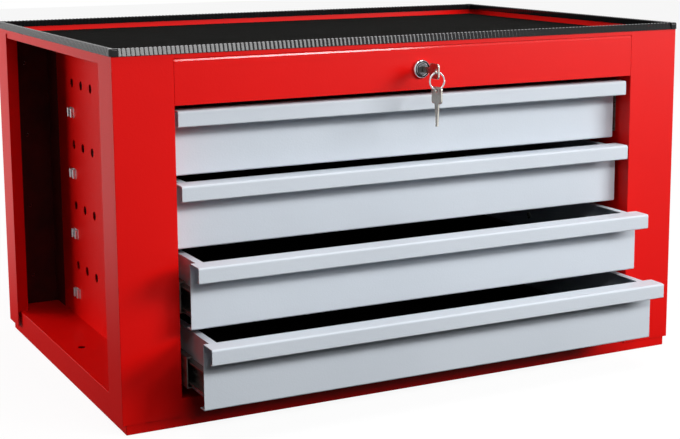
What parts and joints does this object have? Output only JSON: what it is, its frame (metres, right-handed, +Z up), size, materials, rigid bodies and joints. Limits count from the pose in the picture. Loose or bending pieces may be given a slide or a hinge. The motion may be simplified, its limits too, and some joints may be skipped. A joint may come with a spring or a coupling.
{
  "type": "drawer tool chest",
  "caption": "Bench-top sheet-steel tool chest with stacked pull-lip drawers on telescopic slides, open side recesses, a matted top tray and a central key lock.",
  "frame": {"origin": "middle of the base at ground level, on the bottom of the floor stiffener", "axes": "+X to the right along the width, +Y to the rear, +Z up; the drawers open towards -Y"},
  "size_m": [0.6836, 0.5271, 0.3862],
  "materials": {
    "red_paint": "semi-gloss powder coat with light orange peel",
    "grey_paint": "satin powder coat",
    "rubber_trim": "ribbed push-on edge trim",
    "rubber_mat": "fine ribbed mat",
    "zinc": "bright zinc plate",
    "slide_steel": "oiled zinc-plated slide",
    "lock_steel": "turned steel",
    "key_metal": "nickel-plated key",
    "chrome": "polished"
  },
  "bodies": {
    "cabinet": {"base_pan": "red_paint", "floor_stiffener": "red_paint", "side_frame_left": "red_paint", "side_frame_right": "red_paint", "inner_panel_left": "red_paint", "inner_panel_right": "red_paint", "back_panel": "red_paint", "top_tray": "red_paint", "header_panel": "red_paint", "back_screws": "zinc", "edge_trim": "rubber_trim", "top_mat": "rubber_mat", "lock_housing": "chrome", "lock_nut": "zinc", "rod_bracket": "zinc", "lock_bar_guides": "zinc", "drawer_1_slide_outer": "slide_steel", "drawer_2_slide_outer": "slide_steel", "drawer_3_slide_outer": "slide_steel", "drawer_4_slide_outer": "slide_steel"},
    "drawer_1": {"drawer_1_front": "grey_paint", "drawer_1_tray": "grey_paint", "drawer_1_liner": "rubber_mat", "drawer_1_slide_rivets": "slide_steel", "drawer_1_slide_inner": "slide_steel"},
    "drawer_2": {"drawer_2_front": "grey_paint", "drawer_2_tray": "grey_paint", "drawer_2_liner": "rubber_mat", "drawer_2_slide_rivets": "slide_steel", "drawer_2_slide_inner": "slide_steel"},
    "drawer_3": {"drawer_3_front": "grey_paint", "drawer_3_tray": "grey_paint", "drawer_3_liner": "rubber_mat", "drawer_3_slide_rivets": "slide_steel", "drawer_3_slide_inner": "slide_steel"},
    "drawer_4": {"drawer_4_front": "grey_paint", "drawer_4_tray": "grey_paint", "drawer_4_liner": "rubber_mat", "drawer_4_slide_rivets": "slide_steel", "drawer_4_slide_inner": "slide_steel"},
    "drawer_1_slides": {"drawer_1_slide_middle": "slide_steel", "drawer_1_ball_cages": "slide_steel"},
    "drawer_2_slides": {"drawer_2_slide_middle": "slide_steel", "drawer_2_ball_cages": "slide_steel"},
    "drawer_3_slides": {"drawer_3_slide_middle": "slide_steel", "drawer_3_ball_cages": "slide_steel"},
    "drawer_4_slides": {"drawer_4_slide_middle": "slide_steel", "drawer_4_ball_cages": "slide_steel"},
    "lock_cylinder": {"lock_plug": "lock_steel", "key": "key_metal", "lock_rod": "zinc", "lock_crank": "zinc"},
    "lock_bar": {"lock_bar": "zinc"},
    "key_ring": {"key_ring": "chrome"}
  },
  "joints": [
    {"name": "drawer_1_slide", "type": "slide", "parent": "cabinet", "child": "drawer_1", "axis": [0, -1, 0], "range_m": [0, 0.38]},
    {"name": "drawer_2_slide", "type": "slide", "parent": "cabinet", "child": "drawer_2", "axis": [0, -1, 0], "range_m": [-0.0062, 0.3738]},
    {"name": "drawer_3_slide", "type": "slide", "parent": "cabinet", "child": "drawer_3", "axis": [0, -1, 0], "range_m": [-0.0465, 0.3335]},
    {"name": "drawer_4_slide", "type": "slide", "parent": "cabinet", "child": "drawer_4", "axis": [0, -1, 0], "range_m": [-0.0772, 0.3028]},
    {"name": "drawer_1_slide_middle", "type": "slide", "parent": "cabinet", "child": "drawer_1_slides", "axis": [0, -1, 0], "range_m": [0, 0.19]},
    {"name": "drawer_2_slide_middle", "type": "slide", "parent": "cabinet", "child": "drawer_2_slides", "axis": [0, -1, 0], "range_m": [-0.0031, 0.1869]},
    {"name": "drawer_3_slide_middle", "type": "slide", "parent": "cabinet", "child": "drawer_3_slides", "axis": [0, -1, 0], "range_m": [-0.02325, 0.16675]},
    {"name": "drawer_4_slide_middle", "type": "slide", "parent": "cabinet", "child": "drawer_4_slides", "axis": [0, -1, 0], "range_m": [-0.0386, 0.1514]},
    {"name": "lock_bar_slide", "type": "slide", "parent": "cabinet", "child": "lock_bar", "axis": [0, 0, 1], "range_m": [-0.01556, 0]},
    {"name": "lock_turn", "type": "hinge", "parent": "cabinet", "child": "lock_cylinder", "pos_m": [0, -0.225, 0.34965], "axis": [0, 1, 0], "range_deg": [0, 90]},
    {"name": "key_ring_swing", "type": "hinge", "parent": "lock_cylinder", "child": "key_ring", "pos_m": [0, -0.2586, 0.34965], "axis": [1, 0, 0], "range_deg": [-80, 25]}
  ],
  "couplings": [
    {"joint": "drawer_1_slide_middle", "follows": "drawer_1_slide", "ratio": 0.5},
    {"joint": "drawer_2_slide_middle", "follows": "drawer_2_slide", "ratio": 0.5},
    {"joint": "drawer_3_slide_middle", "follows": "drawer_3_slide", "ratio": 0.5},
    {"joint": "drawer_4_slide_middle", "follows": "drawer_4_slide", "ratio": 0.5},
    {"joint": "lock_turn", "follows": "lock_bar_slide", "rad_per_m": -100.97}
  ]
}
